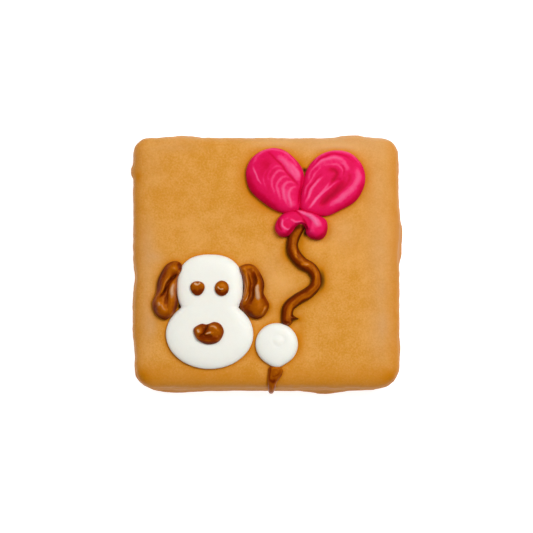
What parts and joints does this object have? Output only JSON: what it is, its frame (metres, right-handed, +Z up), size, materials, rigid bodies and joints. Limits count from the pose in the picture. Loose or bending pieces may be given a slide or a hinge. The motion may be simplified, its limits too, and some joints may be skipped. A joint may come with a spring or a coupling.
{
  "type": "decorated cookie",
  "caption": "Square biscuit dipped in a caramel-coloured coating, piped in icing with a puppy's face and a balloon on a wavy string.",
  "frame": {"origin": "centre of the biscuit's flat underside", "axes": "+Z up out of the iced face, +X to the right of the decoration, +Y towards the decoration's top edge"},
  "size_m": [0.0674, 0.0641, 0.0166],
  "materials": {
    "caramel_coating": "satin-matte caramel-coloured confectionery coating with a fine pale speckle",
    "white_icing": "smooth white icing, satin",
    "brown_icing": "chocolate-brown piped icing, satin with soft highlights",
    "pink_icing": "raspberry-pink piped icing, satin, with stroke marks"
  },
  "bodies": {
    "root": {"cookie": "caramel_coating", "puppy_head": "white_icing", "paw": "white_icing", "ear_left": "brown_icing", "ear_right": "brown_icing", "eye_left": "brown_icing", "eye_right": "brown_icing", "nose": "brown_icing", "string": "brown_icing", "tail": "brown_icing", "balloon_left": "pink_icing", "balloon_right": "pink_icing", "balloon_knot": "pink_icing"}
  },
  "joints": []
}
